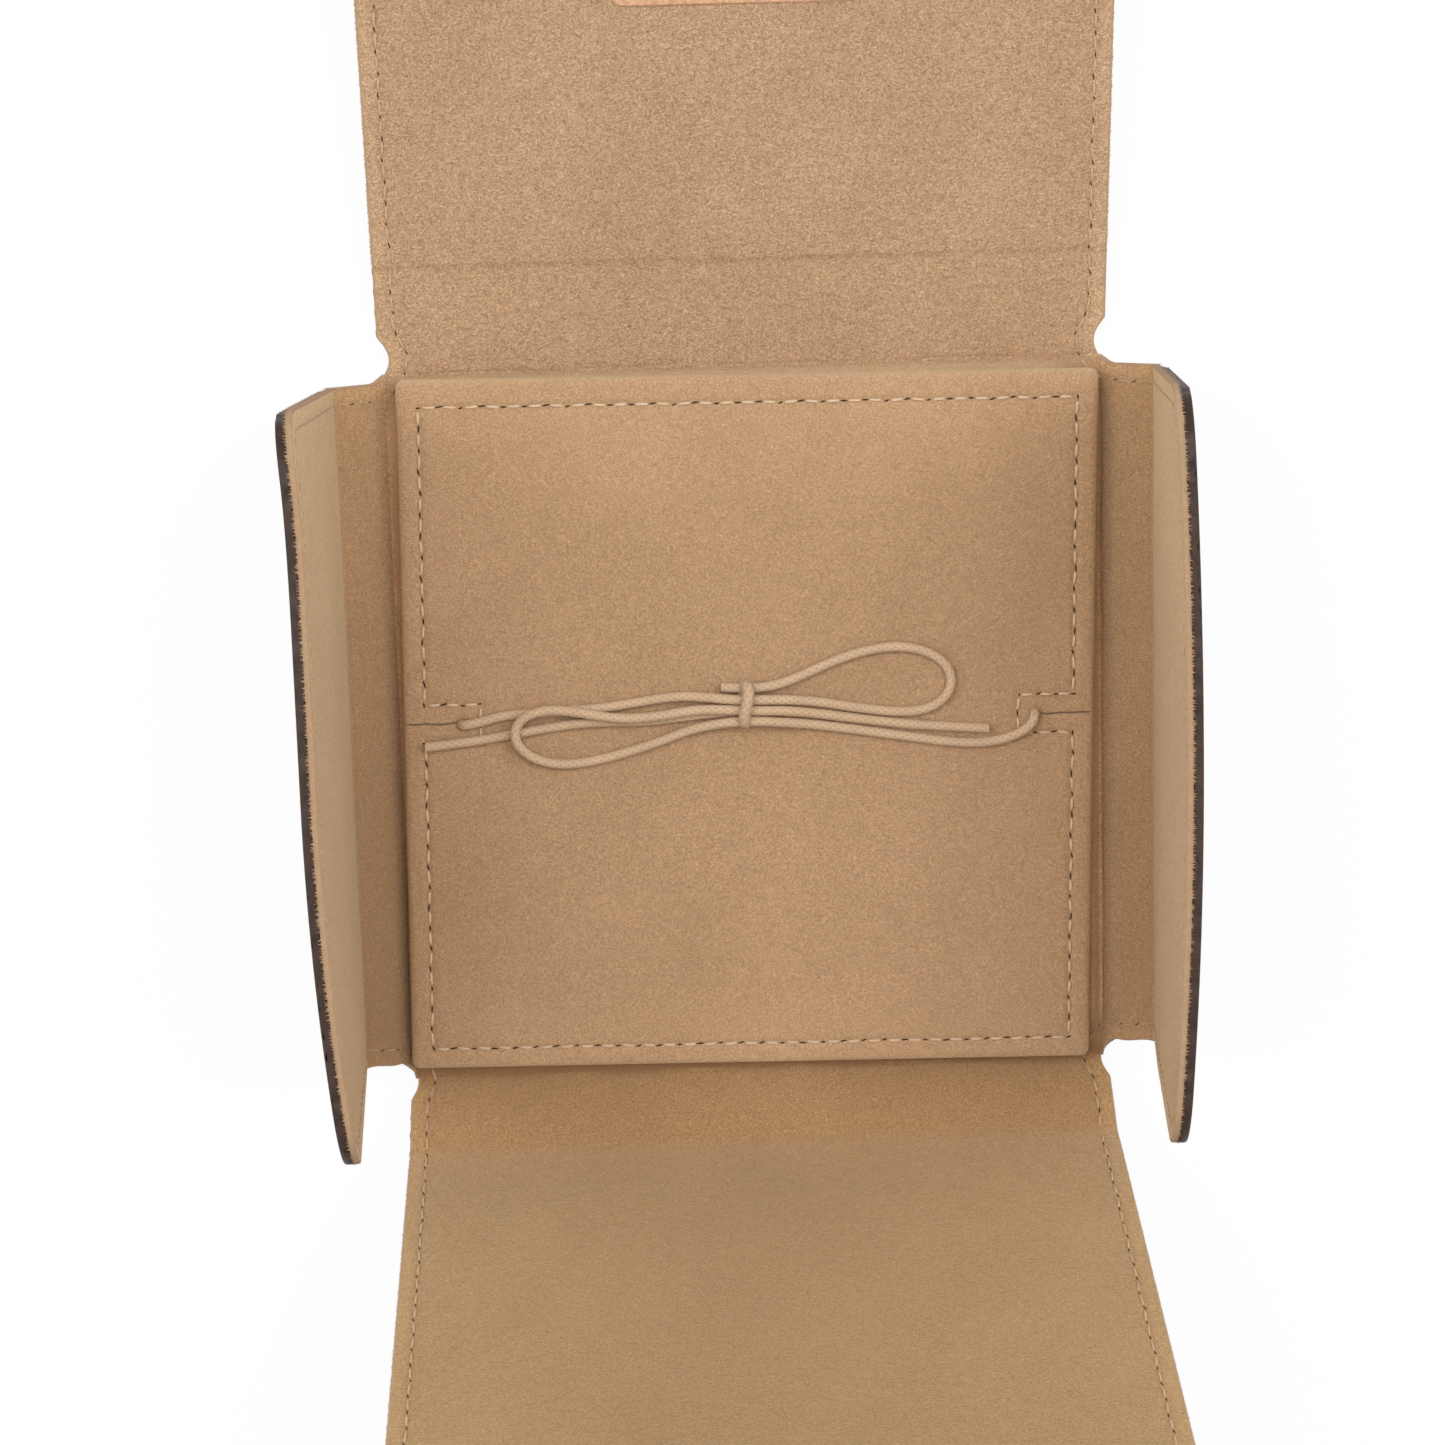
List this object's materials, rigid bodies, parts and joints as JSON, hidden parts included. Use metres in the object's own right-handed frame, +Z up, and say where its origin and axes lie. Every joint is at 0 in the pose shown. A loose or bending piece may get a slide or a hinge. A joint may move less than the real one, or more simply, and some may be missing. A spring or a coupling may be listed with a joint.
{
  "type": "jewellery case",
  "caption": "Folding leather jewellery case, lying open: padded suede base with a tie cord in a bow, and lined fold-over sides on leather folds.",
  "frame": {"origin": "middle of the base's underside", "axes": "+Z up out of the pad, +Y towards the lid's flap, +X to the right seen from the front"},
  "size_m": [0.1317, 0.267, 0.0968],
  "materials": {
    "dark_leather": "dark brown coated leather with a fine grain and a glossy painted edge",
    "suede": "beige suede-like microfibre, soft short nap",
    "pad_suede": "beige suede-like microfibre over foam, stitched all round",
    "card": "grey stiffening card",
    "foam": "soft open foam",
    "cord": "waxed cotton cord, round and tightly laid",
    "natural_leather": "smooth undyed leather, blank",
    "steel": "plain flat disc"
  },
  "bodies": {
    "base": {"base_shell": "dark_leather", "base_board": "card", "base_lining": "suede", "pad_cover": "pad_suede", "pad_board": "card", "pad_foam": "foam", "cord_left": "cord", "cord_right": "cord", "cord_tail": "cord", "cord_under_pad": "cord", "bow_knot": "cord"},
    "lid_wall": {"lid_wall_shell": "dark_leather", "lid_wall_board": "card", "lid_wall_lining": "suede", "lid_wall_fold": "dark_leather"},
    "lid_flap": {"lid_flap_shell": "dark_leather", "lid_flap_board": "card", "lid_flap_lining": "suede", "lid_flap_fold": "dark_leather", "label_patch": "natural_leather", "lid_magnet": "steel"},
    "front_wall": {"front_wall_shell": "dark_leather", "front_wall_board": "card", "front_wall_lining": "suede", "front_wall_fold": "dark_leather"},
    "front_flap": {"front_flap_shell": "dark_leather", "front_flap_board": "card", "front_flap_lining": "suede", "front_flap_fold": "dark_leather", "front_keeper": "steel"},
    "left_wall": {"left_wall_shell": "dark_leather", "left_wall_board": "card", "left_wall_lining": "suede", "left_wall_fold": "dark_leather"},
    "left_flap": {"left_flap_shell": "dark_leather", "left_flap_board": "card", "left_flap_lining": "suede", "left_flap_fold": "dark_leather"},
    "right_wall": {"right_wall_shell": "dark_leather", "right_wall_board": "card", "right_wall_lining": "suede", "right_wall_fold": "dark_leather"},
    "right_flap": {"right_flap_shell": "dark_leather", "right_flap_board": "card", "right_flap_lining": "suede", "right_flap_fold": "dark_leather"}
  },
  "joints": [
    {"name": "lid_wall_fold", "type": "hinge", "parent": "base", "child": "lid_wall", "pos_m": [0, 0.05725, 0.0024], "axis": [1, 0, 0], "range_deg": [-11.5, 78.5], "deforming": ["lid_wall_fold"]},
    {"name": "lid_flap_fold", "type": "hinge", "parent": "lid_wall", "child": "lid_flap", "pos_m": [0, 0.07401, 0.00581], "axis": [1, 0, 0], "range_deg": [-1, 89], "deforming": ["lid_flap_fold"]},
    {"name": "front_wall_fold", "type": "hinge", "parent": "base", "child": "front_wall", "pos_m": [0, -0.05725, 0.0024], "axis": [-1, 0, 0], "range_deg": [-46, 44], "deforming": ["front_wall_fold"]},
    {"name": "front_flap_fold", "type": "hinge", "parent": "front_wall", "child": "front_flap", "pos_m": [0, -0.06691, 0.0124], "axis": [-1, 0, 0], "range_deg": [-24, 66], "deforming": ["front_flap_fold"]},
    {"name": "left_wall_fold", "type": "hinge", "parent": "base", "child": "left_wall", "pos_m": [-0.0565, 0, 0.0024], "axis": [0, 1, 0], "range_deg": [-51.5, 38.5], "deforming": ["left_wall_fold"]},
    {"name": "left_flap_fold", "type": "hinge", "parent": "left_wall", "child": "left_flap", "pos_m": [-0.06347, 0, 0.01116], "axis": [0, 1, 0], "range_deg": [-38.9, 51.1], "deforming": ["left_flap_fold"]},
    {"name": "right_wall_fold", "type": "hinge", "parent": "base", "child": "right_wall", "pos_m": [0.0565, 0, 0.0024], "axis": [0, -1, 0], "range_deg": [-52, 38], "deforming": ["right_wall_fold"]},
    {"name": "right_flap_fold", "type": "hinge", "parent": "right_wall", "child": "right_flap", "pos_m": [0.0634, 0, 0.01123], "axis": [0, -1, 0], "range_deg": [-43, 47], "deforming": ["right_flap_fold"]}
  ]
}
